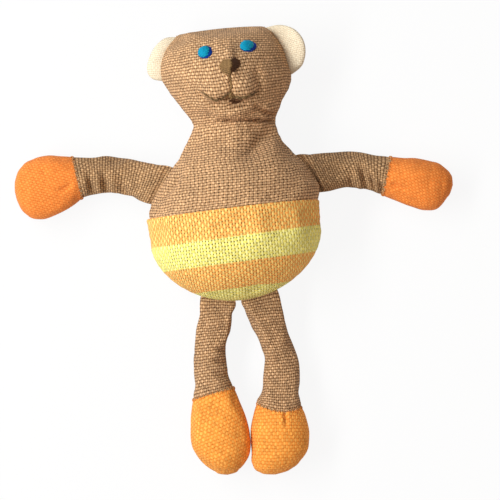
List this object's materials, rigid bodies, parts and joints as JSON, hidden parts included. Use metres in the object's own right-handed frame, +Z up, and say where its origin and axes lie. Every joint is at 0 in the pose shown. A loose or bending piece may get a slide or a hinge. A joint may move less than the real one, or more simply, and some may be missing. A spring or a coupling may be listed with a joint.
{
  "type": "rag teddy bear",
  "caption": "Stuffed cotton rag bear lying on its back with arms spread, in striped trousers, mitts and boots, with limbs that fold forward at their seams.",
  "frame": {"origin": "on the table under the widest part of the belly, on the flat of the back", "axes": "+Z up out of the belly, +Y towards the head, +X towards the bear's own left"},
  "size_m": [0.1959, 0.2008, 0.0496],
  "materials": {
    "brown_cotton": "coarse plain weave",
    "orange_cotton": "plain weave",
    "striped_cotton": "open weave in orange and yellow stripes",
    "cream_cotton": "fine plain weave",
    "dark_blue_thread": "satin stitch",
    "turquoise_thread": "satin stitch",
    "olive_thread": "embroidery thread",
    "cotton_filling": "loose fibre"
  },
  "bodies": {
    "torso": {"chest_front": "brown_cotton", "chest_back": "brown_cotton", "trousers_front": "striped_cotton", "trousers_back": "striped_cotton", "trunk_filling": "cotton_filling"},
    "head": {"head_front": "brown_cotton", "head_back": "brown_cotton", "head_filling": "cotton_filling", "left_ear": "cream_cotton", "right_ear": "cream_cotton", "left_eye_rim": "dark_blue_thread", "left_eye_centre": "turquoise_thread", "right_eye_rim": "dark_blue_thread", "right_eye_centre": "turquoise_thread", "nose": "olive_thread", "mouth_upright": "olive_thread", "mouth_left": "olive_thread", "mouth_right": "olive_thread"},
    "left_arm": {"left_sleeve": "brown_cotton", "left_mitt": "orange_cotton", "left_arm_filling": "cotton_filling"},
    "right_arm": {"right_sleeve": "brown_cotton", "right_mitt": "orange_cotton", "right_arm_filling": "cotton_filling"},
    "left_leg": {"left_leg": "brown_cotton", "left_boot": "orange_cotton", "left_leg_filling": "cotton_filling"},
    "right_leg": {"right_leg": "brown_cotton", "right_boot": "orange_cotton", "right_leg_filling": "cotton_filling"}
  },
  "joints": [
    {"name": "neck_nod", "type": "hinge", "parent": "torso", "child": "head", "pos_m": [0.0046, 0.051, 0.019], "axis": [1, 0, 0], "range_deg": [-10, 15]},
    {"name": "left_shoulder_fold", "type": "hinge", "parent": "torso", "child": "left_arm", "pos_m": [0.03592, 0.02574, 0.02011], "axis": [0.4655, -0.885, 0], "range_deg": [-10, 100]},
    {"name": "right_shoulder_fold", "type": "hinge", "parent": "torso", "child": "right_arm", "pos_m": [-0.03194, 0.02766, 0.02003], "axis": [0.663, 0.7486, 0], "range_deg": [-10, 100]},
    {"name": "left_hip_fold", "type": "hinge", "parent": "torso", "child": "left_leg", "pos_m": [0.007, -0.02958, 0.01582], "axis": [-1, 0, 0], "range_deg": [-10, 95]},
    {"name": "right_hip_fold", "type": "hinge", "parent": "torso", "child": "right_leg", "pos_m": [-0.0114, -0.02958, 0.01584], "axis": [-1, 0, 0], "range_deg": [-10, 95]}
  ]
}
